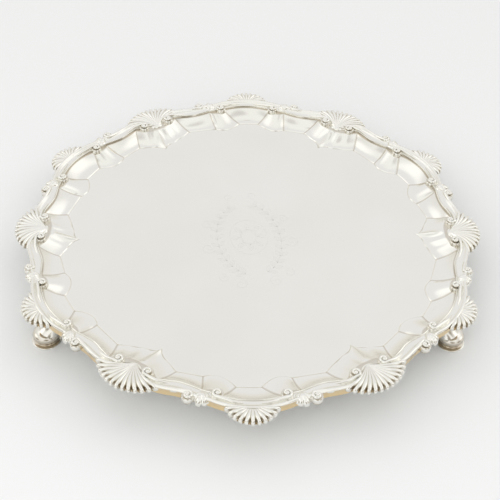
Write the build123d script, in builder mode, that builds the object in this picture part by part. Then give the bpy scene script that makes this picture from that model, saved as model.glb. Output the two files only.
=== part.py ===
"""Silver salver: raised sheet tray with a fluted cavetto, a cast shell and scroll border, three pad feet.

Frame: origin on the ground under the middle of the tray, +Z up, millimetres. The border repeats every
60 degrees. Angles in plan are in degrees, anticlockwise from above: those of the tray and of the
S-scrolls are counted from the middle of a large shell, and those of the C-scrolls from the middle of a
small shell. Radii of border features are steps out (or in, when negative) from the field radius or the
border radius.
"""

import os
from math import atan2, cos, hypot, radians, sin, tan

from build123d import *

# ---------------------------------------------------------------- driving dimensions
repeats = 6  # times that the border pattern goes round
foot_count = 3
pitch = 360 / repeats

field_height = 22.0  # ground to the top of the field
field_radius = 129.0  # to the creases that flank each large shell
cavetto_width = 14.2  # from the field radius to the border radius
cavetto_rise = 5.5  # from the field to the top of the flat rim
cavetto_lift = 8.0  # slope of the cavetto where it leaves the field, degrees
sheet = 1.2  # thickness of the tray
rim_set_back = 0.5  # from the outer wall of the border in to the edge of the sheet
solder_gap = 0.12  # between castings that stand side by side

band_height = 3.9  # border mouldings, above the flat rim
joint_angle = 20.0  # where S-scrolls and C-scrolls meet, from the middle of a large shell
joint_step = 0.4  # inner edge of both mouldings at the joint, from the border radius
joint_width = 5.8
c_scroll_width = 6.0
c_scroll_bow = 3.9  # rise of the C-scroll's arc between its joints

volute_radius = 4.1
volute_height = 2.7
reed_radius = 1.0  # of the rolled edge that winds in to the eye of a volute
outer_winding = 190.0  # turn of the wide arc of that edge, degrees
inner_winding = 170.0  # turn of the tighter arc that follows it
inner_winding_share = 0.7  # radius of the tighter arc, as a share of the wide one's
eye_radius = 1.5

large_hub_step = -3.9  # hub of a large shell, from the border radius
large_reach = 23.0  # hub to the tips of the ribs
large_spread = 62.0  # outermost rib from the middle one, degrees
large_ribs = 15
small_hub_step = 6.0
small_reach = 15.8
small_spread = 80.0
small_ribs = 13
rib_relief = 0.8  # depth of the grooves between ribs, as a share of half a rib's width
seat_share = 0.8  # flat seat under a shell, as a share of its reach
groove_limit = 0.8  # deepest groove, as a share of the rib's height
notch_share = 0.26  # radius of the notch between two tips, as a share of their spacing
hinge_radius = 4.2  # smooth boss that the ribs of a large shell spring from
hinge_step = 1.0  # its middle, outward from the hub
hinge_margin = 1.0  # round its flat seat
bead_radius = 1.5  # on that boss
bead_step = -1.6  # its middle, outward from the hub

leaf_lobes = 3
leaf_fan = 38.0  # between the lobes, degrees
leaf_length = 6.0
leaf_root = 1.8
leaf_tip = 1.0
leaf_angle = 18.7  # its root, from the middle of a large shell
leaf_step = 5.2  # its root, from the border radius
leaf_lift = 0.8  # its root, above the flat rim
leaf_slope = 0.25  # rise of a lobe for each millimetre along it in plan

foot_step = 8.5  # middle of a foot, from the border radius
sole_radius = 9.0
sole_thickness = 1.6
sole_chamfer = 0.4
pad_radius = 8.3
pad_height = 7.6  # ground to the top of the pad
pad_undercut = 0.6  # depth of the groove between the sole and the pad
pad_groove = 0.5  # height of that groove
pad_belly = (0.86, 0.62)  # fullest point of the pad, as shares of its radius and height
ankle_radius = 3.2
knee_width = 22.0
knee_depth = 13.0

trim_height = 24.0  # of the blocks that trim a casting where another stands beside it
shell_tuck = 1.5  # by which the edge of the sheet bows out under a large shell

border_radius = field_radius + cavetto_width
rim_height = field_height + cavetto_rise

# ---------------------------------------------------------------- outlines of the cavetto
# Each entry is a crease and the middle of the panel after it, as (angle, step).
field_creases = [
    ((-27.6, 3.7), (-23.4, -3.2)),
    ((-19.1, -1.6), (-14.5, -1.2)),
    ((-9.6, 0.0), (-4.2, -6.2)),
    ((2.0, -9.5), (5.8, -4.9)),
    ((9.6, 0.0), (13.2, -0.9)),
    ((16.8, -1.2), (21.4, -3.2)),
    ((26.1, 3.9), (29.2, 3.7)),
]
rim_creases = [
    ((-22.8, 1.1), (-20.6, -1.9)),
    ((-18.2, -0.2), (-12.6, -2.8)),
    ((-6.8, 0.0), (-3.0, -5.9)),
    ((1.0, -6.7), (4.0, -5.4)),
    ((6.8, 0.0), (12.6, -2.8)),
    ((18.2, -0.2), (20.6, -1.9)),
    ((22.8, 1.1), (30.0, 4.3)),
]
cavetto_levels = [0, 0.35, 0.7, 1]  # parts of the way from the field to the rim

# Stations of a rib from the hub to the tip: part of the reach, height of the crown, height of the bottom.
rib_stations = [
    (0.10, 1.6, 0.0),
    (0.35, 2.9, 0.0),
    (0.65, 3.7, 0.0),
    (0.82, 3.6, 0.0),
    (0.93, 2.6, -0.9),
    (1.00, 0.4, -1.6),
]

# Points of the mouldings' section, as shares of its width and height, from the field side outward.
lip = (0.0, 0.26)
cove = (0.23, 0.44)
shoulder = (0.38, 0.82)
crest = (0.60, 1.0)
brow = (0.82, 0.80)
outer_bead = (0.95, 0.76)
wall_top = (1.0, 0.60)

# ---------------------------------------------------------------- plan of the mouldings
# Stations of an S-scroll from the shell to the joint: angle, step of the inner edge, width, height.
s_stations = [
    (4.9, -0.1, 3.2, 0.75 * band_height),
    (6.8, 0.1, 5.6, band_height),
    (9.6, -1.4, 6.4, band_height),
    (12.6, -2.7, 6.5, band_height),
    (15.6, -1.7, 6.1, band_height),
    (18.0, -0.2, 5.8, band_height),
    (joint_angle, joint_step, joint_width, band_height),
]
inner_volute = (4.2, -1.4)
outer_volute = (15.4, 6.5)
c_volute = (8.1, 1.5)  # from the middle of a small shell


def polar(radius, angle):
    """Point in plan at a radius and an angle."""
    return (radius * cos(radians(angle)), radius * sin(radians(angle)))


def c_station(angle):
    """Station of the C-scroll: its inner edge bows outward between the joints."""
    part_way = (angle / (pitch / 2 - joint_angle)) ** 2
    step = joint_step + c_scroll_bow * (1 - part_way)
    width = c_scroll_width + (joint_width - c_scroll_width) * part_way
    return (angle, step, width, band_height)


c_half_span = pitch / 2 - joint_angle
c_stations = [c_station(c_half_span * part) for part in (-1, -0.66, -0.33, 0, 0.33, 0.66, 1)]


# ---------------------------------------------------------------- tray
def cavetto_height(part_way):
    """Height above the field, part of the way out to the rim: the cavetto is an arc of a circle."""
    start = radians(cavetto_lift)
    chord = hypot(cavetto_width, cavetto_rise)
    bend = 2 * (atan2(cavetto_rise, cavetto_width) - start)
    radius = chord / (2 * sin(bend / 2))
    across = part_way * cavetto_width + radius * sin(start)
    return radius * cos(start) - (radius**2 - across**2) ** 0.5


def blend(inner, outer, part_way, grow):
    """Point in plan between a point of the field's outline and one of the rim's, moved out by grow."""
    angle = inner[0] + (outer[0] - inner[0]) * part_way
    near = field_radius + inner[1]
    far = border_radius + outer[1]
    return Vector(*polar(near + (far - near) * part_way + grow, angle))


def fluted_outline(part_way, height, grow):
    """Horizontal face inside the fluted outline, part of the way across the cavetto."""
    stops = []
    for turn in range(repeats):
        for inner, outer in zip(field_creases, rim_creases):
            crease = blend(inner[0], outer[0], part_way, grow).rotate(Axis.Z, turn * pitch)
            middle = blend(inner[1], outer[1], part_way, grow).rotate(Axis.Z, turn * pitch)
            stops.append((crease, middle))
    with BuildSketch(Plane.XY.offset(height), mode=Mode.PRIVATE) as outline:
        with BuildLine():
            for (start, middle), (end, _) in zip(stops, stops[1:] + stops[:1]):
                ThreePointArc(start, middle, end)
        make_face()
    return outline.sketch


def fluted_levels(drop=0.0, grow=0.0):
    """Faces up the cavetto, lowered and widened for the underside."""
    return [
        fluted_outline(part, field_height + cavetto_height(part) - drop, grow) for part in cavetto_levels
    ]


def rim_point(angle, step, turn):
    """Point on the edge of the sheet, in one of the border's repeats."""
    return polar(border_radius + step, angle + turn * pitch)


def rim_outline(height, grow=0.0):
    """Edge of the sheet, which follows the outer wall of the border from underneath."""
    stops = [s_stations[1], s_stations[3], s_stations[-1]]
    flank, waist, joint = [(angle, step + width - rim_set_back + grow) for angle, step, width, _ in stops]
    shell = (0, flank[1] + shell_tuck)
    bow = (pitch / 2, joint_step + c_scroll_bow + c_scroll_width - rim_set_back + grow)
    far_flank, far_waist, far_joint = [(pitch - angle, step) for angle, step in (flank, waist, joint)]
    near_flank = (-flank[0], flank[1])
    arcs = [
        (near_flank, shell, flank),
        (flank, waist, joint),
        (joint, bow, far_joint),
        (far_joint, far_waist, far_flank),
    ]
    with BuildSketch(Plane.XY.offset(height), mode=Mode.PRIVATE) as outline:
        with BuildLine():
            for turn in range(repeats):
                for arc in arcs:
                    ThreePointArc(*[rim_point(*stop, turn) for stop in arc])
        make_face()
    return outline.sketch


wall_share = 0.7
wall_step = sheet * wall_share  # the outside of the cavetto stands this far outside its inside, in plan
with BuildPart() as tray:
    loft(fluted_levels(drop=sheet, grow=wall_step))
    extrude(rim_outline(rim_height), amount=-sheet)
    loft(fluted_levels(), mode=Mode.SUBTRACT)
tray.part.label = "tray"


# ---------------------------------------------------------------- mouldings
def upright_plane(angle, radius):
    """Upright plane through the tray's axis: local x outward, local y up, on the flat rim."""
    x, y = polar(radius, angle)
    return Plane((x, y, rim_height), x_dir=(cos(radians(angle)), sin(radians(angle)), 0),
                 z_dir=(sin(radians(angle)), -cos(radians(angle)), 0))


def moulding_section(angle, step, width, height):
    """Section of the border moulding: low lip, cove, crest roll, small bead and upright outer wall."""
    points = [(across * width, up * height) for across, up in (lip, cove, shoulder, crest, brow)]
    points += [(across * width, up * height) for across, up in (outer_bead, wall_top)]
    with BuildSketch(upright_plane(angle, border_radius + step), mode=Mode.PRIVATE) as section:
        with BuildLine():
            Line((0, 0), points[0])
            ThreePointArc(*points[0:3])
            ThreePointArc(*points[2:5])
            ThreePointArc(*points[4:7])
            Polyline(points[6], (width, 0), (0, 0))
        make_face()
    return section.sketch


def moulding_footprint(stations, grow):
    """Upright block round the plan of a moulding, used to trim what stands beside it."""
    outer = [polar(border_radius + step + width + grow, angle) for angle, step, width, _ in stations]
    inner = [polar(border_radius + step - grow, angle) for angle, step, width, _ in stations]
    with BuildSketch(Plane.XY.offset(rim_height - trim_height / 2), mode=Mode.PRIVATE) as plan:
        with BuildLine():
            Spline(*outer)
            Line(outer[-1], inner[-1])
            Spline(*inner[::-1])
            Line(inner[0], outer[0])
        make_face()
    return extrude(plan.sketch, amount=trim_height, mode=Mode.PRIVATE)


def add_volute(center, tail, hand):
    """Add a button with a rolled edge, which winds in from the direction of its tail, and an eye."""
    top = rim_height + volute_height
    with Locations((*center, rim_height)):
        Cylinder(volute_radius, volute_height, align=(Align.CENTER, Align.CENTER, Align.MIN))
    with Locations((*center, top)):
        Sphere(eye_radius)
    middle = Vector(*center, top)
    radius = volute_radius - reed_radius
    with BuildLine(mode=Mode.PRIVATE):
        wide = CenterArc(middle, radius, tail, hand * outer_winding)
        inward = (middle - wide @ 1).normalized()
        center_shift = inward * radius * (1 - inner_winding_share)
        tight = CenterArc(middle - center_shift, radius * inner_winding_share, tail + hand * outer_winding,
                          hand * inner_winding)
    for arc in (wide, tight):
        with BuildSketch(Plane(origin=arc @ 0, z_dir=arc % 0)) as reed:
            Circle(reed_radius)
        sweep(reed.sketch, path=arc)


def at_step(place, side=1):
    """Point in plan of a place given as an angle and a step from the border radius."""
    return polar(border_radius + place[1], side * place[0])


with BuildPart() as s_scroll_right:
    loft([moulding_section(*station) for station in s_stations])
    add_volute(at_step(inner_volute), inner_volute[0], -1)
    add_volute(at_step(outer_volute), outer_volute[0] + 180, -1)

with BuildPart() as s_scroll_left:
    mirror(s_scroll_right.part, about=Plane.XZ)

with BuildPart() as c_scroll:
    loft([moulding_section(*station) for station in c_stations])
    for side in (-1, 1):
        add_volute(at_step(c_volute, side), side * c_volute[0], side)


# ---------------------------------------------------------------- shells
def scallop(reach, spread, ribs):
    """Fan of ribs about an upright hub axis at the origin, on z = 0.

    Each rib is a loft of arched sections as wide as its share of the fan. It rises from the hub to a
    crown and curls down at its tip, and a notch parts it from its neighbour there.
    """
    spacing = 2 * spread / (ribs - 1)
    with BuildPart(mode=Mode.PRIVATE) as rib:
        sections = []
        for part_way, crown, bottom in rib_stations:
            distance = part_way * reach
            half = distance * tan(radians(spacing / 2))
            groove = crown - min(rib_relief * half, groove_limit * (crown - bottom))
            with BuildSketch(Plane.YZ.offset(distance), mode=Mode.PRIVATE) as section:
                with BuildLine():
                    Polyline((-half, groove), (-half, bottom), (half, bottom), (half, groove))
                    ThreePointArc((half, groove), (0, crown), (-half, groove))
                make_face()
            sections.append(section.sketch)
        loft(sections)
    with BuildPart(mode=Mode.PRIVATE) as fan:
        add([rib.part.rotate(Axis.Z, -spread + number * spacing) for number in range(ribs)])
        notch = notch_share * reach * radians(spacing)
        for number in range(ribs + 1):
            with Locations((*polar(reach, -spread + (number - 0.5) * spacing), 0)):
                Cylinder(notch, 3 * band_height, mode=Mode.SUBTRACT)
        Cylinder(seat_share * reach, 3 * band_height, align=(Align.CENTER, Align.CENTER, Align.MAX),
                 mode=Mode.SUBTRACT)
    return fan.part


def volute_block(place, side=1):
    """Upright block round a volute, used to trim what stands beside it."""
    base = Vector(*at_step(place, side), rim_height - trim_height / 2)
    return Solid.make_cylinder(volute_radius + solder_gap, trim_height, Plane(base))


s_block_right = moulding_footprint(s_stations, solder_gap)
s_block_left = mirror(s_block_right, about=Plane.XZ, mode=Mode.PRIVATE)
c_block = moulding_footprint(c_stations, solder_gap)

large_hub = border_radius + large_hub_step
small_hub = border_radius + small_hub_step

with BuildPart() as large_shell:
    add(scallop(large_reach, large_spread, large_ribs).moved(Location((large_hub, 0, rim_height))))
    with Locations((large_hub + hinge_step, 0, rim_height)):
        Sphere(hinge_radius)
    with Locations((large_hub + bead_step, 0, rim_height + hinge_radius / 2)):
        Sphere(bead_radius)
    with Locations((large_hub + hinge_step, 0, rim_height)):
        Cylinder(hinge_radius + hinge_margin, 2 * hinge_radius, align=(Align.CENTER, Align.CENTER, Align.MAX),
                 mode=Mode.SUBTRACT)
    add(s_block_right, mode=Mode.SUBTRACT)
    add(s_block_left, mode=Mode.SUBTRACT)
    add(volute_block(inner_volute), mode=Mode.SUBTRACT)
    add(volute_block(inner_volute, -1), mode=Mode.SUBTRACT)

with BuildPart() as small_shell:
    add(scallop(small_reach, small_spread, small_ribs).moved(Location((small_hub, 0, rim_height))))
    add(c_block, mode=Mode.SUBTRACT)


# ---------------------------------------------------------------- leaves
with BuildPart() as leaf_right:
    root = Vector(*at_step((leaf_angle, leaf_step)), rim_height + leaf_lift)
    for lobe in range(leaf_lobes):
        direction = leaf_angle + (lobe - (leaf_lobes - 1) / 2) * leaf_fan
        ahead = Vector(cos(radians(direction)), sin(radians(direction)), 0)
        with Locations(Plane(origin=root, z_dir=ahead + Vector(0, 0, leaf_slope))):
            Cone(leaf_root, leaf_tip, leaf_length, align=(Align.CENTER, Align.CENTER, Align.MIN))
            with Locations((0, 0, leaf_length)):
                Sphere(leaf_tip)
    add(s_block_right, mode=Mode.SUBTRACT)
    add(c_block.rotate(Axis.Z, pitch / 2), mode=Mode.SUBTRACT)
    add(volute_block(outer_volute), mode=Mode.SUBTRACT)
    add(volute_block((pitch / 2 - c_volute[0], c_volute[1])), mode=Mode.SUBTRACT)
    split(bisect_by=Plane.XY.offset(rim_height - sheet), keep=Keep.TOP)

with BuildPart() as leaf_left:
    mirror(leaf_right.part, about=Plane.XZ)


# ---------------------------------------------------------------- feet
foot_radius = border_radius + foot_step
groove_radius = pad_radius - pad_undercut
pad_bottom = sole_thickness + pad_groove
belly = (pad_radius * pad_belly[0], sole_thickness + pad_belly[1] * (pad_height - sole_thickness))
leg_stations = [
    # height above the ground, step in from the middle of the pad, size along the radius, size across
    (pad_height * 0.5, 0.0, 2 * ankle_radius, 2 * ankle_radius),
    (pad_height + 1.6, 1.2, 1.7 * ankle_radius, 2.0 * ankle_radius),
    (field_height * 0.62, 4.2, 2.1 * ankle_radius, 3.0 * ankle_radius),
    (field_height * 0.85, 7.2, 0.8 * knee_depth, 0.75 * knee_width),
    (rim_height, 9.0, knee_depth, knee_width),
]

with BuildPart() as foot_blank:
    with BuildSketch(Plane.XZ):
        with BuildLine():
            Polyline((0, 0), (sole_radius - sole_chamfer, 0), (sole_radius, sole_chamfer),
                     (sole_radius, sole_thickness - sole_chamfer),
                     (sole_radius - sole_chamfer, sole_thickness), (groove_radius, sole_thickness),
                     (groove_radius, pad_bottom))
            ThreePointArc((groove_radius, pad_bottom), belly, (0, pad_height))
            Line((0, pad_height), (0, 0))
        make_face()
    revolve(axis=Axis.Z)
    slices = []
    for height, step, deep, wide in leg_stations:
        with BuildSketch(Plane.XY.offset(height), mode=Mode.PRIVATE) as slice_sketch:
            with Locations((-step, 0)):
                Ellipse(deep / 2, wide / 2)
        slices.append(slice_sketch.sketch)
    loft(slices)
with BuildPart() as foot:
    add(foot_blank.part.moved(Location((foot_radius, 0, 0))).rotate(Axis.Z, pitch / 2))
    loft(fluted_levels(drop=sheet + solder_gap, grow=wall_step + solder_gap), mode=Mode.SUBTRACT)
    with BuildSketch(Plane.XY.offset(rim_height - sheet - solder_gap)):
        Circle(2 * border_radius)
    extrude(amount=trim_height, mode=Mode.SUBTRACT)

# ---------------------------------------------------------------- assembly
border = [
    ("s_scroll_right", s_scroll_right, 0),
    ("s_scroll_left", s_scroll_left, 0),
    ("large_shell", large_shell, 0),
    ("leaf_right", leaf_right, 0),
    ("leaf_left", leaf_left, 0),
    ("c_scroll", c_scroll, pitch / 2),
    ("small_shell", small_shell, pitch / 2),
]
os.makedirs("parts", exist_ok=True)
export_step(tray.part, "parts/tray.step")
for name, piece, start_angle in border:
    for number in range(repeats):
        copy = piece.part.rotate(Axis.Z, start_angle + number * pitch)
        copy.label = f"{name}_{number + 1}"
        export_step(copy, f"parts/{copy.label}.step")
for number in range(foot_count):
    copy = foot.part.rotate(Axis.Z, pitch + number * 360 / foot_count)
    copy.label = f"foot_{number + 1}"
    export_step(copy, f"parts/{copy.label}.step")
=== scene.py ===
"""Silver salver with a shell and scroll border on three pad feet: its looks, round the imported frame.

Lengths in this file are in millimetres until a mesh is made, when they become metres. Angles are in
degrees, anticlockwise from above, counted from the middle of a large shell. Radii of border features
are steps from the field radius or the border radius, as in the part's construction.
"""

import bpy
import numpy as np
from mathutils import Matrix, Vector


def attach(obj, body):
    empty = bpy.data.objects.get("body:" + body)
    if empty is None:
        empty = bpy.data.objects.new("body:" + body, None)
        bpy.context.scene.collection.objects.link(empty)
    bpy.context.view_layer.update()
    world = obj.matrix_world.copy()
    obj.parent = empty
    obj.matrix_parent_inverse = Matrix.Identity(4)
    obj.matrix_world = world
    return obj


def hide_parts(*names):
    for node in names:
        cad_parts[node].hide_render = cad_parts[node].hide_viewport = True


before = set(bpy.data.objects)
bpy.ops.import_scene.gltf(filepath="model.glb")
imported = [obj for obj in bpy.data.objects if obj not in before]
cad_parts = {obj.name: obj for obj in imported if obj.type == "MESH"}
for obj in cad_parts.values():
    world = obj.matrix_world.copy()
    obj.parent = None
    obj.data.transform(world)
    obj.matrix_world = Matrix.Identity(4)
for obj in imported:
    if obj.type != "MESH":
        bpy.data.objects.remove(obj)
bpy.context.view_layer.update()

# ---------------------------------------------------------------- sizes
MM = 0.001
REPEATS = 6
PITCH = 360 / REPEATS
FIELD_HEIGHT = 22.0
FIELD_RADIUS = 129.0
CAVETTO_WIDTH = 14.2
CAVETTO_RISE = 5.5
COVE_POWER = 1.9  # above 1 the cavetto steepens outward
EDGE_STEP = 0.45  # height of the bevel at the field's edge
EDGE_SHARE = 0.07  # of the cavetto's width, taken by that bevel
SHEET = 1.2
RIM_SET_BACK = 0.5  # edge of the sheet, in from the border's outer wall
BAND_HEIGHT = 3.9
BORDER_RADIUS = FIELD_RADIUS + CAVETTO_WIDTH
RIM_HEIGHT = FIELD_HEIGHT + CAVETTO_RISE

CUSP_ANGLE = 2.0  # of the inward point of the field, past the middle of a large shell
FLANK_ANGLE = 9.6  # of the creases that flank a large shell
# crease and middle of the panel after it, as (angle, step)
FIELD_CREASES = [
    ((-27.6, 3.7), (-23.4, -3.2)),
    ((-19.1, -1.6), (-14.5, -1.2)),
    ((-FLANK_ANGLE, 0.0), (-4.2, -6.2)),
    ((CUSP_ANGLE, -9.5), (5.8, -4.9)),
    ((FLANK_ANGLE, 0.0), (13.2, -0.9)),
    ((16.8, -1.2), (21.4, -3.2)),
    ((26.1, 3.9), (29.2, 3.7)),
]
PANEL_SWELLS = [2.0, 0.4, 1.2, 1.7, 0.4, 2.0, 0.4]
RIM_CREASES = [
    ((-22.8, 1.1), (-20.6, -1.9)),
    ((-18.2, -0.2), (-12.6, -2.8)),
    ((-6.8, 0.0), (-3.0, -5.9)),
    ((1.0, -6.7), (4.0, -5.4)),
    ((6.8, 0.0), (12.6, -2.8)),
    ((18.2, -0.2), (20.6, -1.9)),
    ((22.8, 1.1), (30.0, 4.3)),
]
JOINT_ANGLE = 20.0
JOINT_STEP = 0.4
JOINT_WIDTH = 7.2
C_WIDTH = 7.6
C_BOW = 3.9
C_HALF = PITCH / 2 - JOINT_ANGLE
# angle, step of the inner edge, width, height
S_STATIONS = np.array([
    (4.9, -0.1, 3.6, 0.75 * BAND_HEIGHT),
    (6.8, 0.1, 6.6, BAND_HEIGHT),
    (9.6, -1.4, 8.0, BAND_HEIGHT),
    (12.6, -2.7, 8.4, BAND_HEIGHT),
    (15.6, -1.7, 7.9, BAND_HEIGHT),
    (18.0, -0.2, 7.4, BAND_HEIGHT),
    (JOINT_ANGLE, JOINT_STEP, JOINT_WIDTH, BAND_HEIGHT),
])
INNER_VOLUTE = (4.2, -1.4)
OUTER_VOLUTE = (15.4, 6.5)
C_VOLUTE = (PITCH / 2 - 8.1, 1.5)
VOLUTE_RADIUS = 3.9
ROLL_TOP = 4.1  # of the volutes' rolled edge, above the flat rim
ROLL_INSET = 1.0  # middle of that roll, in from the volute's radius
STROKE_SKIRT = 2.6  # depth of the strokes' lower half over the upper one's, where they lie on a band
LEAF_ANGLE = 18.7
LEAF_STEP = 5.2
FOOT_STEP = 8.5


# ---------------------------------------------------------------- mesh helpers
def polar(radius, angle):
    """Points in plan, as an array (..., 2), from radii and angles."""
    turn = np.radians(angle)
    return np.stack([radius * np.cos(turn), radius * np.sin(turn)], -1)


def turned(points, angle):
    """Points turned about the upright axis."""
    c, s = np.cos(np.radians(angle)), np.sin(np.radians(angle))
    return points @ np.array([[c, s, 0], [-s, c, 0], [0, 0, 1]])


def smooth_curve(points, count):
    """Curve through the points: a Catmull-Rom spline, sampled evenly in its parameter."""
    p = np.asarray(points, float)
    ends = np.concatenate([[2 * p[0] - p[1]], p, [2 * p[-1] - p[-2]]])
    t = np.linspace(0, len(p) - 1 - 1e-9, count)
    i = t.astype(int)
    f = (t - i)[:, None]
    a, b, c, d = ends[i], ends[i + 1], ends[i + 2], ends[i + 3]
    bend, twist = 2 * a - 5 * b + 4 * c - d, 3 * b - a - 3 * c + d
    return 0.5 * (2 * b + (c - a) * f + bend * f**2 + twist * f**3)


def from_shell(angle):
    """Angle from the middle of the nearest large shell."""
    return (np.asarray(angle) + PITCH / 2) % PITCH - PITCH / 2


def grid_faces(rows, columns):
    """Quads between neighbouring rows of a grid whose rows are rings."""
    r = np.arange(rows - 1)[:, None] * columns
    c = np.arange(columns)[None, :]
    n = (c + 1) % columns
    return np.stack([r + c, r + n, r + columns + n, r + columns + c], -1).reshape(-1, 4)


def lofted(rings, patina_and_shade=0.0):
    """Closed surface through rings of points (rows, columns, 3), with a fan to the middle at both ends.

    The last argument gives each point of the rings a value from 0 to 1 of patina and painted shade, and
    near 1 a painted warm reflection."""
    rows, columns, _ = rings.shape
    verts = np.concatenate([rings.reshape(-1, 3), [rings[0].mean(0)], [rings[-1].mean(0)]])
    patina_and_shade_value = np.broadcast_to(patina_and_shade, (rows, columns))
    patina_and_shade_value = np.concatenate([patina_and_shade_value.ravel(), [patina_and_shade_value[0].mean(), patina_and_shade_value[-1].mean()]])
    quads = grid_faces(rows, columns)
    c = np.arange(columns)
    n = (c + 1) % columns
    low = np.stack([n, c, np.full(columns, rows * columns)], -1)
    top = (rows - 1) * columns
    high = np.stack([top + c, top + n, np.full(columns, rows * columns + 1)], -1)
    return verts, quads, np.concatenate([low, high]), patina_and_shade_value


def merged(shells):
    """Several closed surfaces as one set of points, quads, triangles and values of patina and painted
    shade.
    """
    firsts = np.cumsum([0] + [len(shell[0]) for shell in shells[:-1]])
    verts = np.concatenate([shell[0] for shell in shells])
    quads = np.concatenate([shell[1] + first for shell, first in zip(shells, firsts)])
    tris = np.concatenate([shell[2] + first for shell, first in zip(shells, firsts)])
    return verts, quads, tris, np.concatenate([shell[3] for shell in shells])


def outward(v, q, t, patina_and_shade):
    """The same surface with its faces turned outward: its signed volume is made positive."""
    tri = np.concatenate([q[:, :3], q[:, [0, 2, 3]], t])
    a, b, c = v[tri[:, 0]], v[tri[:, 1]], v[tri[:, 2]]
    if np.einsum("ij,ij->i", a, np.cross(b, c)).sum() < 0:
        return v, q[:, ::-1], t[:, ::-1], patina_and_shade
    return v, q, t, patina_and_shade


def make_piece(name, shells, material, nodes, sharp=38.0):
    """Mesh object from closed surfaces in millimetres, on the salver's body in place of its CAD nodes."""
    v, q, t, patina_and_shade = merged([outward(*shell) for shell in shells])
    mesh = bpy.data.meshes.new(name)
    mesh.from_pydata(v * MM, [], q.tolist() + t.tolist())
    mesh.polygons.foreach_set("use_smooth", np.ones(len(mesh.polygons), bool))
    mesh.set_sharp_from_angle(angle=np.radians(sharp))
    # values of patina and painted shade for each point, which the silver materials read
    mesh.attributes.new("patina_and_shade", "FLOAT", "POINT").data.foreach_set("value", patina_and_shade.astype(np.float32))
    mesh.materials.append(material)
    piece = bpy.data.objects.new(name, mesh)
    bpy.context.scene.collection.objects.link(piece)
    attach(piece, "root")
    if nodes:
        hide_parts(*nodes)


# ---------------------------------------------------------------- materials
# brown of patina in hollows, used also as painted shade on dark lines, undersides and the feet
BROWN_PATINA_AND_SHADE = (0.35, 0.26, 0.145)
# painted warm reflection: the warm tone that the outer walls, the buttons' undersides and the pads
# mirror, painted into their colour
WARM_REFLECTION = (0.85, 0.66, 0.38)
CLOUD_SCALE = 18.0
CLOUD_LOW, CLOUD_HIGH = 0.3, 0.7  # values of the noise between which tone and polish change
TONES = [(CLOUD_LOW, (0.868, 0.856, 0.802)), (CLOUD_HIGH, (0.890, 0.882, 0.842))]
BROWN_END = 0.76  # highest value that is brown: patina, and painted shade
WARM_REFLECTION_START = 0.9  # lowest value that is the painted warm reflection


def colour_ramp(tree, value, stops):
    """Colour that a ramp of stops, as (position, colour), gives a value."""
    ramp = tree.nodes.new("ShaderNodeValToRGB")
    tree.links.new(value, ramp.inputs["Fac"])
    elements = ramp.color_ramp.elements
    for element, (position, colour) in zip(elements, (stops[0], stops[-1])):
        element.position, element.color = position, (*colour, 1)
    for position, colour in stops[1:-1]:
        elements.new(position).color = (*colour, 1)
    return ramp.outputs["Color"]


def noise(tree, place, scale, detail):
    """Value of a soft noise at a place."""
    field = tree.nodes.new("ShaderNodeTexNoise")
    field.inputs["Scale"].default_value = scale
    field.inputs["Detail"].default_value = detail
    tree.links.new(place, field.inputs["Vector"])
    return field.outputs["Fac"]


def silver(name, roughness, wear, grain, patina_and_shade_strength=1.0, low_tint=BROWN_PATINA_AND_SHADE, high_tint=WARM_REFLECTION):
    """Polished silver: a faint warm tone, cloudy patches of softer polish and fine wear. The higher a
    point's value of patina and painted shade, the more colour it takes: brown at first, as patina in
    hollows and as painted shade, and near 1 a painted warm reflection."""
    material = bpy.data.materials.new(name)
    material.use_nodes = True
    tree = material.node_tree
    nodes, links = tree.nodes, tree.links
    shader = nodes["Principled BSDF"]
    shader.inputs["Metallic"].default_value = 1.0
    place = nodes.new("ShaderNodeTexCoord").outputs["Object"]
    cloud = noise(tree, place, CLOUD_SCALE, detail=4.0)
    patina_and_shade_value = nodes.new("ShaderNodeAttribute")
    patina_and_shade_value.attribute_name = "patina_and_shade"
    # patina, painted shade and painted warm reflection, mixed over the cloudy tone
    patina_shade = nodes.new("ShaderNodeMix")
    patina_shade.data_type = "RGBA"
    amount = nodes.new("ShaderNodeMath")
    amount.operation = "MULTIPLY"
    amount.inputs[1].default_value = patina_and_shade_strength
    links.new(patina_and_shade_value.outputs["Fac"], amount.inputs[0])
    links.new(amount.outputs["Value"], patina_shade.inputs["Factor"])
    links.new(colour_ramp(tree, cloud, TONES), patina_shade.inputs["A"])
    patina_and_shade_stops = [(BROWN_END, low_tint), (WARM_REFLECTION_START, high_tint)]
    links.new(colour_ramp(tree, patina_and_shade_value.outputs["Fac"], patina_and_shade_stops), patina_shade.inputs["B"])
    links.new(patina_shade.outputs["Result"], shader.inputs["Base Color"])
    polish = nodes.new("ShaderNodeMapRange")
    polish.inputs["From Min"].default_value = CLOUD_LOW
    polish.inputs["From Max"].default_value = CLOUD_HIGH
    polish.inputs["To Min"].default_value = roughness * 0.8
    polish.inputs["To Max"].default_value = roughness * 1.25
    links.new(cloud, polish.inputs["Value"])
    links.new(polish.outputs["Result"], shader.inputs["Roughness"])
    bump = nodes.new("ShaderNodeBump")
    bump.inputs["Strength"].default_value = wear
    bump.inputs["Distance"].default_value = 0.5 * MM
    links.new(noise(tree, place, grain, detail=3.0), bump.inputs["Height"])
    links.new(bump.outputs["Normal"], shader.inputs["Normal"])
    return material


sheet_silver = silver("sheet_silver", roughness=0.14, wear=0.05, grain=60.0)
cast_silver = silver("cast_silver", roughness=0.14, wear=0.10, grain=260.0)


# ---------------------------------------------------------------- tray
PANEL_STEPS = 24  # columns to each panel
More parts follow.
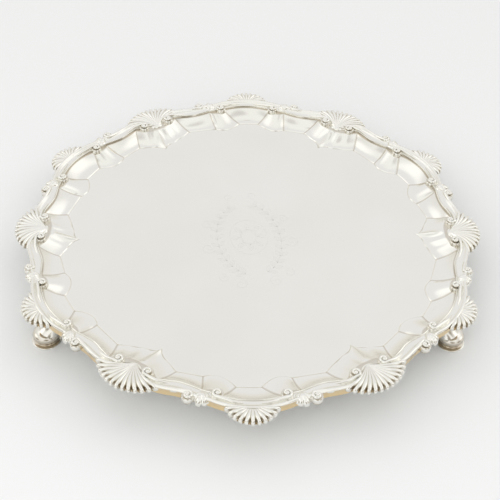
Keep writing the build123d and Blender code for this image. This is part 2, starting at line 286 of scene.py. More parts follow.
# rings of the cavetto, as shares of the way out, close together on the bevel
CAVETTO_PARTS = np.concatenate([[0, 0.012, 0.03, 0.05, 0.07], np.linspace(0.11, 1, 20)])
CUSP_DEPTH = 2.6  # reach of the field's inward point
CUSP_WIDTH = 0.85  # angle over which that point falls off
RIDGE_HEIGHT = 1.0
EDGE_PAINTED_SHADE = 0.55  # painted shade at the field's edge
# painted shade along the creases between the panels
CREASE_PAINTED_SHADE = 0.45
RIM_PAINTED_SHADE = 0.4  # painted shade where the cavetto meets the border
# hair-high lift of the field just inside its edge: distance in from the edge, and height
EDGE_LINE = [(0.9, 0.0), (0.55, 0.03), (0.3, 0.05), (0.1, 0.03)]
RIDGE_END = 0.95  # of the way out to the rim, where the ridge at the cusp dies out
FOLD_PITCH = 4.6  # angle from one fold beside a large shell to the next
FOLD_DEPTH = 0.7
UNDER_SHIFT = 0.7 * SHEET  # underside of the cavetto, outward from the upper side
EDGE_ROUND = 0.3  # corners of the sheet's outer edge
# rings of the flat field, as shares of the way out to its edge
FIELD_SHARES = np.array([0.02, 0.25, 0.5, 0.7, 0.85, 0.93, 0.97])
# step of the sheet's edge under a large shell, as (angle, step)
SHELL_SEAT = [(0, 7.2), (3.4, 6.9)]


def arc_through(start, middle, end, u):
    """Quadratic through three values at u = 0, 1/2 and 1."""
    return start * (1 - u) * (1 - 2 * u) + 4 * middle * u * (1 - u) + end * u * (2 * u - 1)


def panel_columns(creases):
    """Angles and steps of an outline, a fixed number of columns to each panel, once round the tray."""
    stops = [(a + PITCH * k, s, b + PITCH * k, m) for k in range(REPEATS) for (a, s), (b, m) in creases]
    stops = np.array(stops)
    u = np.arange(PANEL_STEPS)[None, :] / PANEL_STEPS
    nxt = np.roll(stops, -1, axis=0)
    nxt[-1, 0] += 360
    angles = arc_through(stops[:, 0:1], stops[:, 2:3], nxt[:, 0:1], u)
    steps = arc_through(stops[:, 1:2], stops[:, 3:4], nxt[:, 1:2], u)
    swell = np.tile(PANEL_SWELLS, REPEATS)[:, None] * (1 - (2 * u - 1) ** 4)
    crease = np.broadcast_to(u == 0, angles.shape)
    return angles.ravel(), steps.ravel(), swell.ravel(), crease.ravel().astype(float)


def cavetto_height(part):
    """Height above the field part of the way out: a narrow straight bevel, and on it a cove that rises
    as a power of the way out."""
    return (CAVETTO_RISE - EDGE_STEP) * part**COVE_POWER + EDGE_STEP * np.clip(part / EDGE_SHARE, 0, 1)


def shell_fold(angle):
    """Soft upright folds in the panels beside a large shell: a cosine of the angle, times a parabola that
    falls to nothing at the creases that flank the shell."""
    a = from_shell(angle)
    fade = np.clip(1 - (a / FLANK_ANGLE) ** 2, 0, 1)
    return fade * np.cos(2 * np.pi * (a - CUSP_ANGLE) / FOLD_PITCH) * FOLD_DEPTH


def band_outer(angle):
    """Step of the outer wall of the border at an angle, for the edge of the sheet under it."""
    seat_angles, seat_steps = zip(*SHELL_SEAT)
    s_out = S_STATIONS[1:, 1] + S_STATIONS[1:, 2]
    c_knots = np.linspace(JOINT_ANGLE, PITCH / 2, 5)[1:]
    c_out = JOINT_STEP + C_BOW * (1 - ((PITCH / 2 - c_knots) / C_HALF) ** 2) + C_WIDTH
    knots = np.concatenate([seat_angles, S_STATIONS[1:, 0], c_knots])
    return np.interp(np.abs(from_shell(angle)), knots, np.concatenate([seat_steps, s_out, c_out]))


def tray_surface():
    """Tray: rings from the middle of the field, out across it to a narrow bevel, up the cavetto panels,
    over the flat rim and back underneath. Every panel swells inward between its creases, most halfway
    up, and soft folds run up the panels beside the large shells. At the cusp the field's outline springs
    in to a point, which falls off as an exponential of the angle, and a ridge runs up from it."""
    field_angle, field_step, swell, crease = panel_columns(FIELD_CREASES)
    rim_angle, rim_step, _, _ = panel_columns(RIM_CREASES)
    fold = shell_fold(field_angle)
    cusp = np.exp(-np.abs(from_shell(field_angle - CUSP_ANGLE)) / CUSP_WIDTH)
    field_step = field_step - CUSP_DEPTH * cusp
    crease = crease * (1 - cusp)
    near, far = FIELD_RADIUS + field_step, BORDER_RADIUS + rim_step
    blank = np.zeros(len(field_angle))

    def ring(radius, angle, height):
        """Ring of points at one height or at a height for each."""
        xy = polar(radius, angle)
        return np.column_stack([xy, np.broadcast_to(height, len(xy))])

    def cavetto_ring(part, drop, grow):
        """Ring part of the way up the cavetto, dropped and grown by the sheet's thickness underneath."""
        angle = field_angle + (rim_angle - field_angle) * part
        relief = swell * np.sin(np.pi * part) ** 0.8
        relief = relief + fold * np.cos(np.pi / 2 * part) ** 0.5 * (0.65 + 0.9 * part)
        ridge = RIDGE_HEIGHT * cusp * np.sin(np.pi * min(part / RIDGE_END, 1)) ** 0.5
        height = FIELD_HEIGHT + cavetto_height(part) + ridge - drop
        return ring(near + (far - near) * part + grow - relief, angle, height)

    edge = BORDER_RADIUS + band_outer(rim_angle) - RIM_SET_BACK
    # painted shade: dark lines at the field's edge, along the creases and where the cavetto meets the
    # border
    creases = [CREASE_PAINTED_SHADE * crease] * (len(CAVETTO_PARTS) - 2)
    painted_shade_rows = [blank + EDGE_PAINTED_SHADE, *creases, blank + RIM_PAINTED_SHADE]
    rows = [(ring(near * share, field_angle, FIELD_HEIGHT), blank) for share in FIELD_SHARES]
    rows += [(ring(near - inset, field_angle, FIELD_HEIGHT + rise), blank) for inset, rise in EDGE_LINE]
    rows += [(cavetto_ring(part, 0, 0), patina_and_shade_value) for part, patina_and_shade_value in zip(CAVETTO_PARTS, painted_shade_rows)]
    for inset, drop in ((EDGE_ROUND, 0), (0, EDGE_ROUND), (0, SHEET - EDGE_ROUND), (EDGE_ROUND, SHEET)):
        rows.append((ring(edge - inset, rim_angle, RIM_HEIGHT - drop), blank))
    rows += [(cavetto_ring(part, SHEET, UNDER_SHIFT), blank) for part in CAVETTO_PARTS[::-1]]
    under = FIELD_HEIGHT - SHEET
    rows += [(ring(near * share, field_angle, under), blank) for share in FIELD_SHARES[::-1]]
    return lofted(np.array([row for row, _ in rows]), np.array([patina_and_shade for _, patina_and_shade in rows]))


make_piece("tray_sheet", [tray_surface()], sheet_silver, ["tray"], sharp=14.0)


# ---------------------------------------------------------------- mouldings
# section of the border moulding, as shares of its width and height from the inner foot, and a value of
# patina and painted shade: a thin lip, a broad band that rises to a soft roll, and an outer wall that
# hangs over the edge of the sheet. That value is patina and painted shade at the inner foot and in the
# groove behind the lip, painted shade under the wall, and a painted warm reflection on the outer wall.
SECTION = np.array([
    (0.00, 0.00, 0.5), (0.00, 0.38, 0.12), (0.015, 0.47, 0), (0.05, 0.51, 0), (0.09, 0.47, 0),
    (0.115, 0.38, 0.28), (0.16, 0.36, 0.05), (0.28, 0.40, 0), (0.42, 0.46, 0), (0.56, 0.55, 0),
    (0.66, 0.66, 0), (0.74, 0.79, 0), (0.82, 0.87, 0), (0.90, 0.85, 0), (0.96, 0.74, 0),
    (0.99, 0.58, 0.05), (0.965, 0.48, 0.9), (0.965, -0.72, 1), (0.93, -0.78, 0.2), (0.90, -0.72, 0.8),
    (0.90, 0.00, 0),
])
# button under a volute, from its underside to the tip of its eye: radius and height as shares of the
# volute's radius and the band's height, value of patina and painted shade in the hollow round the eye,
# and share of painted warm reflection on the underside
BUTTON = np.array([
    (0.62, -0.62, 0, 1), (0.80, -0.58, 0, 1), (0.92, -0.46, 0, 0.95), (0.99, -0.24, 0, 0.4),
    (1.01, 0.0, 0, 0.1), (1.0, 0.36, 0, 0), (0.96, 0.55, 0.05, 0), (0.86, 0.64, 0.2, 0),
    (0.7, 0.62, 0.4, 0), (0.5, 0.58, 0.45, 0), (0.36, 0.62, 0.35, 0), (0.30, 0.76, 0.05, 0),
    (0.28, 0.88, 0, 0), (0.16, 1.02, 0, 0), (0.02, 1.055, 0, 0),
])
# ends of the strokes that run out of the volutes over the bands, as (angle, step)
S_INNER_RUN = [(6.3, 1.9), (8.2, 1.4), (10.6, 0.2)]
S_OUTER_RUN = [(13.4, 4.1), (11.4, 4.7), (9.6, 5.3)]
C_RUN = [(23.9, 5.2), (25.8, 6.4), (28.0, 7.0)]


def moulding(stations, count):
    """Border moulding: the section carried round on upright planes through the tray's axis, with its
    angle, place, width and height read from a smooth curve through the stations."""
    along = smooth_curve(stations, count)
    x, z, patina_and_shade_value = SECTION.T
    radius = BORDER_RADIUS + along[:, 1:2] + along[:, 2:3] * x
    height = RIM_HEIGHT + along[:, 3:4] * z
    xy = polar(radius, along[:, 0:1])
    return lofted(np.concatenate([xy, height[..., None]], -1), patina_and_shade_value[None, :])


def winding(place, tail, hand, turns=1.3):
    """Centre line of a volute in plan, from its tail in to its eye: a spiral whose radius falls evenly
    as it turns."""
    part = np.linspace(0, 1, 30)
    radius = (VOLUTE_RADIUS - ROLL_INSET) * (1 - 0.8 * part)
    return polar(BORDER_RADIUS + place[1], place[0]) + polar(radius, tail + hand * 360 * turns * part)


def rod(path, radii, skirt=1.0, sides=14):
    """Tapered roll: circles square to a path in plan. The skirt says, for all rings or for each, how many
    times deeper the lower half is than the upper, so that a roll can stand on the metal."""
    along = np.gradient(path, axis=0)
    along /= np.linalg.norm(along, axis=1, keepdims=True)
    side = np.stack([along[:, 1], -along[:, 0], np.zeros(len(path))], -1)
    side /= np.linalg.norm(side, axis=1, keepdims=True)
    turn = np.linspace(0, 2 * np.pi, sides, endpoint=False)
    lift = np.sin(turn) * np.where(np.sin(turn) < 0, np.broadcast_to(skirt, len(path))[:, None], 1.0)
    radii = np.asarray(radii)[:, None, None]
    spread = np.cos(turn)[None, :, None] * side[:, None]
    return lofted(path[:, None] + radii * (spread + lift[:, :, None] * [0, 0, 1]))


def button(place, warm_reflection_share=0.3):
    """Round button under a volute, with a hollow round the eye and a rounded underside, as a surface of
    revolution."""
    center = polar(BORDER_RADIUS + place[1], place[0])
    r, h, hollow, high_tint = BUTTON.T * np.array([[VOLUTE_RADIUS], [BAND_HEIGHT], [1], [warm_reflection_share]])
    turn = np.linspace(0, 2 * np.pi, 32, endpoint=False)
    rings = np.stack([center[0] + r[:, None] * np.cos(turn), center[1] + r[:, None] * np.sin(turn),
                      np.broadcast_to(RIM_HEIGHT + h[:, None], (len(r), len(turn)))], -1)
    # patina and painted shade in the hollow round the eye, and a painted warm reflection on the underside
    return lofted(rings, (hollow + high_tint)[:, None])


def stroke(spiral, crest, fullest, sink):
    """Roll that winds out of the eye of a volute and runs on along the crest, a list of (angle, step),
    where it thins and sinks into the band by the given depth."""
    run_out = np.array([polar(BORDER_RADIUS + step, angle) for angle, step in crest])
    tail = smooth_curve(np.concatenate([spiral[2:0:-1], run_out]), 40)[4:]
    plan = np.concatenate([spiral[:2:-1], tail])
    run = np.concatenate([[0], np.cumsum(np.linalg.norm(np.diff(plan, axis=0), axis=1))])
    plan = np.stack([np.interp(np.linspace(0, run[-1], 100), run, plan[:, k]) for k in (0, 1)], -1)
    share = np.linspace(0, 1, len(plan))
    widths = [0.25, 0.6, 0.95, fullest, 0.85 * fullest, 0.4]
    radii = np.interp(share, [0, 0.03, 0.3, 0.62, 0.85, 1], widths)
    height = RIM_HEIGHT + ROLL_TOP - radii - sink * np.clip((share - 0.5) / 0.5, 0, 1) ** 1.3
    skirt = np.interp(share, [0.45, 0.65], [1.0, STROKE_SKIRT])
    return rod(np.column_stack([plan, height]), radii, skirt)


def mirrored(shells):
    """Surfaces mirrored about the middle of the large shell."""
    return [(v * [1, -1, 1], *rest) for v, *rest in shells]


def placed(shells, angle):
    """Surfaces turned about the upright axis by an angle."""
    return [(turned(v, angle), *rest) for v, *rest in shells]


s_scroll = [
    moulding(S_STATIONS, 60),
    button(INNER_VOLUTE),
    # the outer button's underside takes a stronger painted warm reflection
    button(OUTER_VOLUTE, warm_reflection_share=0.95),
    stroke(winding(INNER_VOLUTE, INNER_VOLUTE[0], -1), S_INNER_RUN, fullest=1.1, sink=2.6),
    stroke(winding(OUTER_VOLUTE, OUTER_VOLUTE[0] + 180, -1), S_OUTER_RUN, fullest=1.3, sink=2.0),
]

c_angles = np.linspace(-C_HALF, C_HALF, 9)
c_stations = np.column_stack([
    c_angles + PITCH / 2,
    JOINT_STEP + C_BOW * (1 - (c_angles / C_HALF) ** 2),
    C_WIDTH + (JOINT_WIDTH - C_WIDTH) * (c_angles / C_HALF) ** 2,
    np.full(9, BAND_HEIGHT),
])
c_far_volute = (PITCH - C_VOLUTE[0], C_VOLUTE[1])
c_far_run = [(PITCH - angle, step) for angle, step in C_RUN]
c_scroll = [
    moulding(c_stations, 64),
    button(C_VOLUTE),
    button(c_far_volute),
    stroke(winding(C_VOLUTE, C_VOLUTE[0], -1), C_RUN, fullest=1.15, sink=2.0),
    stroke(winding(c_far_volute, c_far_volute[0], 1), c_far_run, fullest=1.15, sink=2.0),
]


# ---------------------------------------------------------------- shells
LARGE_HUB = -5.2
LARGE_REACH = 22.6
SMALL_HUB = 6.0
SMALL_REACH = 15.8
SHELL_CROWN = 3.7
FLANK_GROWTH = 0.16  # of the outermost ribs' length over the middle one's
RIB_SAMPLES = 10
RIB_RELIEF = 0.85  # depth of the gaps, as a share of half a rib's width
RIB_LIMIT = 1.4  # deepest gap
# patina and painted shade in the gaps between the ribs, strongest at the tips
RIB_PATINA_AND_SHADE = 0.70
TIP_NOTCH = 0.085  # between the tips, as a share of the reach
TIP_START = 0.62  # along the ray, where the notch begins
TIP_RUN = 0.33
UNDERSIDE = 0.68  # of the way round the profile, where its underside begins
# painted shade on the curled underside of the ribs
UNDER_PAINTED_SHADE = 0.85
# closed profile of a rib, along the ray and above the rim: it crowns, curls over and runs back under
RIB_PROFILE = np.array([
    (0.04, 0.34), (0.16, 0.50), (0.34, 0.76), (0.54, 0.95), (0.72, 1.02), (0.85, 0.96), (0.94, 0.78),
    (0.985, 0.48), (0.99, 0.14), (0.965, -0.20), (0.92, -0.42), (0.87, -0.36), (0.83, -0.10), (0.82, 0.0),
])


def fan_ray(along, turn, inner, outer):
    """Point along a curved ray of a fan: an arc of a circle whose heading opens, from hub to tip, from
    inner to outer times its turn."""
    turn = np.where(np.abs(turn) < 1e-6, 1e-6, turn)
    spread, start = turn * np.radians(outer - inner), turn * np.radians(inner)
    out = (np.sin(start + spread * along) - np.sin(start)) / spread
    side = (np.cos(start) - np.cos(start + spread * along)) / spread
    return out, side


def scallop(hub_step, reach, inner, outer, ribs, hub_angle):
    """Scallop shell: the profile of a rib carried across rays that flare to the sides, and pushed in
    along its normal between rounded ribs, each of which is half an ellipse across."""
    station = np.linspace(0, 1, len(RIB_PROFILE))
    curve = smooth_curve(np.column_stack([RIB_PROFILE, station]), 56)
    along, lift, part = curve[:, 0], curve[:, 1] * SHELL_CROWN, curve[:, 2]
    phase = np.linspace(0, ribs, ribs * RIB_SAMPLES + 1)
    across = 2 * (phase % 1) - 1
    across[-1] = 1
    turn = 2 * phase / ribs - 1
    arch = np.sqrt(np.clip(1 - across**2, 0, 1)) - 1
    tip = np.clip((along - TIP_START) / TIP_RUN, 0, 1) ** 1.5
    notched = along[None, :] + TIP_NOTCH * arch[:, None] * tip
    out, side = fan_ray(notched, turn[:, None], inner, outer)
    length = reach * (1 + FLANK_GROWTH * turn[:, None] ** 2)
    base = np.stack([out * length, side * length, np.broadcast_to(lift, out.shape)], -1)
    normal = np.cross(np.gradient(base, axis=0), np.gradient(base, axis=1))
    normal /= np.maximum(np.linalg.norm(normal, axis=-1, keepdims=True), 1e-9)
    normal *= np.sign(normal[:, :8, 2].mean())  # up, near the hub
    half = np.linalg.norm(np.gradient(base, axis=0), axis=-1) * RIB_SAMPLES / 2
    fade = np.clip((1.0 - part) / 0.22, 0, 1) * np.interp(along, [0.1, 0.75], [0.35, 1.0])
    relief = np.minimum(RIB_RELIEF * half, RIB_LIMIT) * arch[:, None] * fade
    place = np.array([BORDER_RADIUS + hub_step, 0, RIM_HEIGHT])
    shape = base + normal * relief[..., None] + place
    hub = np.zeros((len(turn), 1, 3)) + place
    # patina and painted shade in the valleys, and painted shade on the undersides
    valley = RIB_PATINA_AND_SHADE * np.abs(across[:, None]) ** 6
    valley = valley * np.interp(along, [0.3, 0.7, 0.95], [0.05, 0.16, 1.0])
    under = np.clip((part - UNDERSIDE) / 0.10, 0, UNDER_PAINTED_SHADE)
    patina_and_shade_value = np.concatenate([np.maximum(valley, under), np.zeros((len(turn), 1))], 1)
    return placed([lofted(np.concatenate([shape, hub], 1), patina_and_shade_value)], hub_angle)


def boss(center, deep, wide, height):
    """Low oval dome on the flat rim, deep along the radius of the tray and wide across it: the upper half
    of an ellipsoid."""
    lift = np.linspace(0, np.pi / 2 - 0.03, 12)[:, None]
    turn = np.linspace(0, 2 * np.pi, 32, endpoint=False)
    out = center[0] + deep * np.cos(lift) * np.cos(turn)
    side = center[1] + wide * np.cos(lift) * np.sin(turn)
    return lofted(np.stack([out, side, RIM_HEIGHT + height * np.sin(lift) + 0 * turn], -1))


large_shell = scallop(LARGE_HUB, LARGE_REACH, inner=42.0, outer=98.0, ribs=13, hub_angle=0)
large_shell.append(boss((BORDER_RADIUS - 2.6, 0), deep=3.2, wide=5.0, height=1.5))
small_shell = scallop(SMALL_HUB, SMALL_REACH, inner=50.0, outer=112.0, ribs=11, hub_angle=PITCH / 2)


# ---------------------------------------------------------------- leaves
# lobes of the flare: heading from the joint's radius, length and fullness
LOBES = [(-46, 6.6, 2.0), (-10, 8.0, 2.2), (26, 7.4, 2.1)]
LOBE_ROOT = (1.8, 18.5)  # step and angle
LOBE_AIM = 18.4
LOBE_STEPS = 16
LOBE_HEIGHT = 1.5
LOBE_ARCH = 0.5
LOBE_DROOP = 1.4


def leaf_surface():
    """Fluted flare where the scrolls meet: a low boss, and round-tipped lobes that fan out. Each rises as
    half a wave and bends down as a power of the way along it."""
    shells = placed([boss((BORDER_RADIUS + LEAF_STEP, 0), deep=4.6, wide=5.4, height=3.2)], LEAF_ANGLE)
    share = np.linspace(0, 1, LOBE_STEPS)
    height = RIM_HEIGHT + LOBE_HEIGHT + LOBE_ARCH * np.sin(np.pi * share) - LOBE_DROOP * share**2.5
    for heading, length, fullness in LOBES:
        ahead = np.radians(LOBE_AIM + heading * (0.55 + 0.45 * share))
        step = np.column_stack([np.cos(ahead), np.sin(ahead)]) * length / (LOBE_STEPS - 1)
        plan = polar(BORDER_RADIUS + LOBE_ROOT[0], LOBE_ROOT[1]) + np.cumsum(step, axis=0)
        radii = fullness * np.interp(share, [0, 0.25, 0.6, 0.85, 1], [0.6, 0.85, 1.0, 1.0, 0.75])
        shells.append(rod(np.column_stack([plan, height]), radii))
    return shells


leaf = leaf_surface()


# ---------------------------------------------------------------- feet
# outline of the sole and pad, from the ground up: radius, height and painted shade, strongest low on the
# pad and none on its top
PAD = [
    (8.9, 0.0, 0.2), (9.4, 0.1, 0.2), (9.6, 0.4, 0.1), (9.6, 0.7, 0.1), (9.2, 0.95, 0.1),
    (7.9, 1.05, 0.5), (7.0, 1.5, 0.7), (6.9, 2.4, 0.75), (7.8, 3.3, 0.8), (8.4, 4.3, 0.7),
    (8.6, 5.4, 0.55), (8.4, 6.7, 0.4), (7.7, 7.8, 0.3), (6.4, 8.7, 0.15), (4.4, 9.3, 0.05),
    (2.1, 9.65, 0), (0.1, 9.7, 0),
]
# oval slices of the leg: height, step in from the pad's middle, half depth and half width
LEG = [
    (6.4, 0.5, 7.9, 8.0), (8.0, 1.5, 7.3, 7.5), (10.0, 3.0, 6.2, 6.8), (13.4, 5.3, 5.0, 6.5),
    (18.7, 7.9, 5.3, 8.4), (23.0, 9.0, 6.2, 10.6),
]
# faint painted shade on the leg
LEG_PAINTED_SHADE = 0.08


def foot_surface():
    """Pad foot: a pad on a thin sole, as a surface of revolution, and a leg of ellipses that swells to a
    knee, both on smooth curves through their points."""
    center = polar(BORDER_RADIUS + FOOT_STEP, PITCH / 2)
    turn = np.linspace(0, 2 * np.pi, 72, endpoint=False)
    r, h, patina_shade = np.hsplit(smooth_curve(PAD, 60), 3)
    pad = np.stack([center[0] + r * np.cos(turn), center[1] + r * np.sin(turn), h + 0 * turn], -1)
    level, inward, deep, wide = np.hsplit(smooth_curve(LEG, 24), 4)
    leg = np.stack([-inward + deep * np.cos(turn), wide * np.sin(turn), level + 0 * turn], -1)
    leg = turned(leg + [BORDER_RADIUS + FOOT_STEP, 0, 0], PITCH / 2)
    # painted shade on the pad and the leg
    return [lofted(pad, np.clip(patina_shade, 0, 1)), lofted(leg, LEG_PAINTED_SHADE)]


foot = foot_surface()


# ---------------------------------------------------------------- engraving
LINE = 0.12  # half width of a line
LINE_FOOT = 0.02  # below the field
LINE_RISE = 0.03  # above it
ENGRAVING_TILT = 8.0
WREATH_HALF_WIDTH = 22
WREATH_HALF_HEIGHT = 37
LEAF_SPLAY = 42  # of the wreath's leaves from their branch
RING_RADII = (5.0, 5.8, 13.0)
RING_STRETCH = 1.35
ROSETTE_PETALS = 8
# curls beside one branch: x, y, radius, heading of the outer end and hand
CURLS = [(29, -8, 5.2, 200, 1), (27, 16, 4.2, 160, -1), (12, -45, 5.0, 60, 1), (22, -38, 4.0, 110, -1),
         (8, 44, 3.6, 250, 1)]


def ribbon(path):
    """Very thin flat line that lies on the field along a path in plan: an oblong across, which narrows
    evenly to both ends."""
    path = np.asarray(path, float)
    along = np.gradient(path, axis=0)
    along /= np.maximum(np.linalg.norm(along, axis=1, keepdims=True), 1e-9)
    side = np.column_stack([-along[:, 1], along[:, 0]])
    taper = np.interp(np.linspace(0, 1, len(path)), [0, 0.2, 0.8, 1], [0.35, 1, 1, 0.35])[:, None] * LINE
    low, high = FIELD_HEIGHT - LINE_FOOT, FIELD_HEIGHT + LINE_RISE
    corners = [(path - side * taper, low), (path + side * taper, low), (path + side * taper, high),
               (path - side * taper, high)]
    rings = np.stack([np.column_stack([xy, np.full(len(xy), z)]) for xy, z in corners], 1)
    return lofted(rings, 1.0)


def petal(root, heading, length, width):
    """Both edges and the vein of a pointed leaf, whose edges bulge as a power of half a wave."""
    share = np.linspace(0, 1, 14)
    ahead, across = polar(1.0, heading), polar(1.0, heading + 90)
    bulge = width * np.sin(np.pi * share) ** 1.3
    spine = root + share[:, None] * length * ahead
    return [spine + bulge[:, None] * across, spine - bulge[:, None] * across, spine[:10]]


def curl(center, radius, start, hand, turns=1.4):
    """Spiral flourish from the outside in, whose radius falls evenly as it turns."""
    share = np.linspace(0, 1, 36)
    return center + polar(radius * (1 - 0.82 * share), start + hand * 360 * turns * share)


def ornament():
    """Generic wreath: two leafy branches round a rosette, with curls at the sides and below."""
    turn = np.linspace(0, 360, 73)
    lines = [polar(radius, turn) * [1, RING_STRETCH] for radius in RING_RADII]
    for heading in np.arange(ROSETTE_PETALS) * 360 / ROSETTE_PETALS:
        lines += petal(polar(5.9, heading) * [1, 1.3], heading, length=6.4, width=1.7)
    sweep = np.radians(np.linspace(-82, 74, 40))
    for side in (-1, 1):
        out, rise = side * WREATH_HALF_WIDTH * np.cos(sweep), WREATH_HALF_HEIGHT * np.sin(sweep) - 1
        branch = np.column_stack([out, rise])
        lines.append(branch)
        for number in range(3, 38, 3):
            tangent = branch[number + 1] - branch[number - 1]
            heading = np.degrees(np.arctan2(tangent[1], tangent[0]))
            for splay in (LEAF_SPLAY, -LEAF_SPLAY):
                lines += petal(branch[number], heading + splay, length=6.8, width=1.35)
        for x, y, radius, start, hand in CURLS:
            start = start if side > 0 else 180 - start
            lines.append(curl(np.array([side * x, y]), radius, start, hand * side))
    c, s = np.cos(np.radians(ENGRAVING_TILT)), np.sin(np.radians(ENGRAVING_TILT))
    return [ribbon(line @ np.array([[c, s], [-s, c]])) for line in lines]


# ---------------------------------------------------------------- pieces
castings = {
    "s_scroll_right": s_scroll,
    "s_scroll_left": mirrored(s_scroll),
    "c_scroll": c_scroll,
    "large_shell": large_shell,
    "small_shell": small_shell,
    "leaf_right": leaf,
    "leaf_left": mirrored(leaf),
}
for number in range(REPEATS):
    for name, shells in castings.items():
        casting = placed(shells, number * PITCH)
        node = f"{name}_{number + 1}"
        make_piece(f"{name}_cast_{number + 1}", casting, cast_silver, [node])
for number in range(3):
    casting = placed(foot, PITCH * (2 * number + 1))
    node = f"foot_{number + 1}"
    make_piece(f"foot_cast_{number + 1}", casting, cast_silver, [node])
GREY = (0.40, 0.39, 0.37)
engraved_silver = silver(
    "engraved_silver", roughness=0.30, wear=0.0, grain=60.0, patina_and_shade_strength=0.19, low_tint=GREY, high_tint=GREY
)
make_piece("engraving", ornament(), engraved_silver, [])


# ---------------------------------------------------------------- studio
FLOOR_HALF = 4.0
# height of the direction, and colour of the tent there
TENT = [(0.0, (0.73, 0.695, 0.625)), (0.14, (0.84, 0.815, 0.76)), (0.42, (0.86, 0.845, 0.81)),
        (0.8, (0.87, 0.865, 0.845)), (1.0, (0.92, 0.92, 0.91))]
BACKDROP = (0.80, 0.81, 0.815)
# soft panels and openings of the tent: direction x, y, z, then angular radius and soft edge, and colour
OPENINGS = [
    (0.0, 0.73, 0.68, 16, 22, (0.897, 0.894, 0.898)),
    (-0.1, -0.75, 0.65, 26, 40, (1.12, 1.12, 1.10)),
    (0.0, 0.05, 1.0, 15, 15, (1.00, 1.00, 0.98)),
    (0.50, 0.42, 0.77, 5, 13, (1.20, 1.195, 1.175)),
    (-0.40, 0.43, 0.82, 4, 12, (1.18, 1.175, 1.155)),
    (0.85, 0.10, 0.50, 11, 9, (1.40, 1.39, 1.36)),
    (-0.85, 0.10, 0.50, 11, 9, (1.40, 1.39, 1.36)),
    (0.1, -0.9, 0.42, 9, 14, (0.38, 0.34, 0.28)),
    (0.8, -0.5, 0.25, 9, 10, (0.42, 0.38, 0.32)),
    (-0.85, -0.35, 0.20, 8, 9, (0.45, 0.41, 0.35)),
    (0.0, -0.45, 0.85, 5, 8, (0.70, 0.69, 0.67)),
    (0.14, 0.10, 1.0, 2, 6, (0.72, 0.71, 0.69)),
    (-0.26, 0.05, 0.95, 2, 6, (0.72, 0.71, 0.69)),
]


def plain(name, colour, roughness):
    """Even surface of one colour and one roughness."""
    material = bpy.data.materials.new(name)
    material.use_nodes = True
    shader = material.node_tree.nodes["Principled BSDF"]
    shader.inputs["Base Color"].default_value = (*colour, 1)
    shader.inputs["Roughness"].default_value = roughness
    return material


def studio_world():
    """Pale tent: white overhead, a little darker and warmer toward the ground, with soft bright panels
    and dark openings that the silver mirrors. The camera itself sees a plain backdrop."""
    world = bpy.data.worlds.new("studio")
    world.use_nodes = True
    nodes, links = world.node_tree.nodes, world.node_tree.links
    direction = nodes.new("ShaderNodeTexCoord").outputs["Generated"]
    split = nodes.new("ShaderNodeSeparateXYZ")
    links.new(direction, split.inputs["Vector"])
    tint = colour_ramp(world.node_tree, split.outputs["Z"], TENT)
    for x, y, z, size, edge, colour in OPENINGS:
        dot = nodes.new("ShaderNodeVectorMath")
        dot.operation = "DOT_PRODUCT"
        dot.inputs[1].default_value = np.array([x, y, z]) / np.linalg.norm([x, y, z])
        links.new(direction, dot.inputs[0])
        patch = nodes.new("ShaderNodeMapRange")
        patch.interpolation_type = "SMOOTHSTEP"
        patch.inputs["From Min"].default_value = np.cos(np.radians(size + edge))
        patch.inputs["From Max"].default_value = np.cos(np.radians(size))
        links.new(dot.outputs["Value"], patch.inputs["Value"])
        mix = nodes.new("ShaderNodeMix")
        mix.data_type = "RGBA"
        links.new(patch.outputs["Result"], mix.inputs["Factor"])
        links.new(tint, mix.inputs["A"])
        mix.inputs["B"].default_value = (*colour, 1)
        tint = mix.outputs["Result"]
    links.new(tint, nodes["Background"].inputs["Color"])
    backdrop = nodes.new("ShaderNodeBackground")
    backdrop.inputs["Color"].default_value = (*BACKDROP, 1)
    seen = nodes.new("ShaderNodeMixShader")
    links.new(nodes.new("ShaderNodeLightPath").outputs["Is Camera Ray"], seen.inputs["Fac"])
    links.new(nodes["Background"].outputs["Background"], seen.inputs[1])
    links.new(backdrop.outputs["Background"], seen.inputs[2])
    links.new(seen.outputs["Shader"], nodes["World Output"].inputs["Surface"])
    bpy.context.scene.world = world


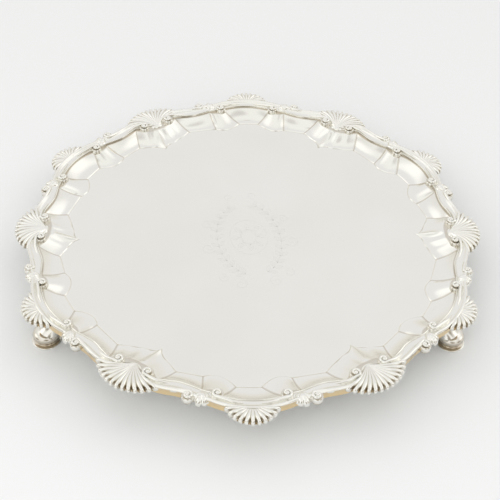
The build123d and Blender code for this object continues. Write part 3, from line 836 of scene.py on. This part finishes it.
def softbox(name, place, target, size, power):
    """Square lamp turned to its target. It lights the floor only: the silver mirrors the soft panels of
    the tent instead, so no view of it burns out."""
    light = bpy.data.lights.new(name, "AREA")
    light.shape = "SQUARE"
    light.size = size
    light.energy = power
    lamp = bpy.data.objects.new(name, light)
    bpy.context.scene.collection.objects.link(lamp)
    lamp.location = place
    lamp.rotation_euler = (Vector(target) - Vector(place)).to_track_quat("-Z", "Y").to_euler()
    lamp.visible_glossy = False


floor_corners = FLOOR_HALF * np.array([(-1, -1, 0), (1, -1, 0), (1, 1, 0), (-1, 1, 0)])
floor_mesh = bpy.data.meshes.new("floor")
floor_mesh.from_pydata(floor_corners, [], [(0, 1, 2, 3)])
floor_mesh.materials.append(plain("floor_paper", (0.828, 0.839, 0.849), roughness=0.7))
floor = bpy.data.objects.new("floor", floor_mesh)
bpy.context.scene.collection.objects.link(floor)
studio_world()
softbox("key", place=(-0.28, -0.98, 0.72), target=(0, -0.08, 0), size=1.1, power=3.7)


# ---------------------------------------------------------------- camera
UNIT = FIELD_RADIUS * MM
SENSOR = 36.0
FOCAL_SHARE = 1.95  # focal length, as a share of the sensor's width
ELEVATION = np.radians(43.117)
TURN = np.radians(2.154)
ROLL = np.radians(1.939)
DISTANCE = 5.1704 * UNIT
AIM = np.array([0.00891, -0.10184, 0.0]) * UNIT

ahead = np.array([0, np.cos(ELEVATION), -np.sin(ELEVATION)])
right = np.array([1.0, 0, 0])
up = np.cross(right, ahead)
image_right = right * np.cos(ROLL) + up * np.sin(ROLL)
image_up = -right * np.sin(ROLL) + up * np.cos(ROLL)
unturn = np.array([[np.cos(TURN), np.sin(TURN), 0], [-np.sin(TURN), np.cos(TURN), 0], [0, 0, 1]])
eye = unturn @ (AIM - ahead * DISTANCE) + [0, 0, FIELD_HEIGHT * MM]
axes = [unturn @ image_right, unturn @ image_up, unturn @ -ahead]

camera_data = bpy.data.cameras.new("camera")
camera_data.sensor_width = SENSOR
camera_data.lens = FOCAL_SHARE * SENSOR
camera_data.clip_start = 0.01
camera = bpy.data.objects.new("camera", camera_data)
bpy.context.scene.collection.objects.link(camera)
camera.matrix_world = Matrix([*np.column_stack([*axes, eye]).tolist(), [0, 0, 0, 1]])
bpy.context.scene.camera = camera
bpy.context.scene.view_settings.view_transform = "Standard"
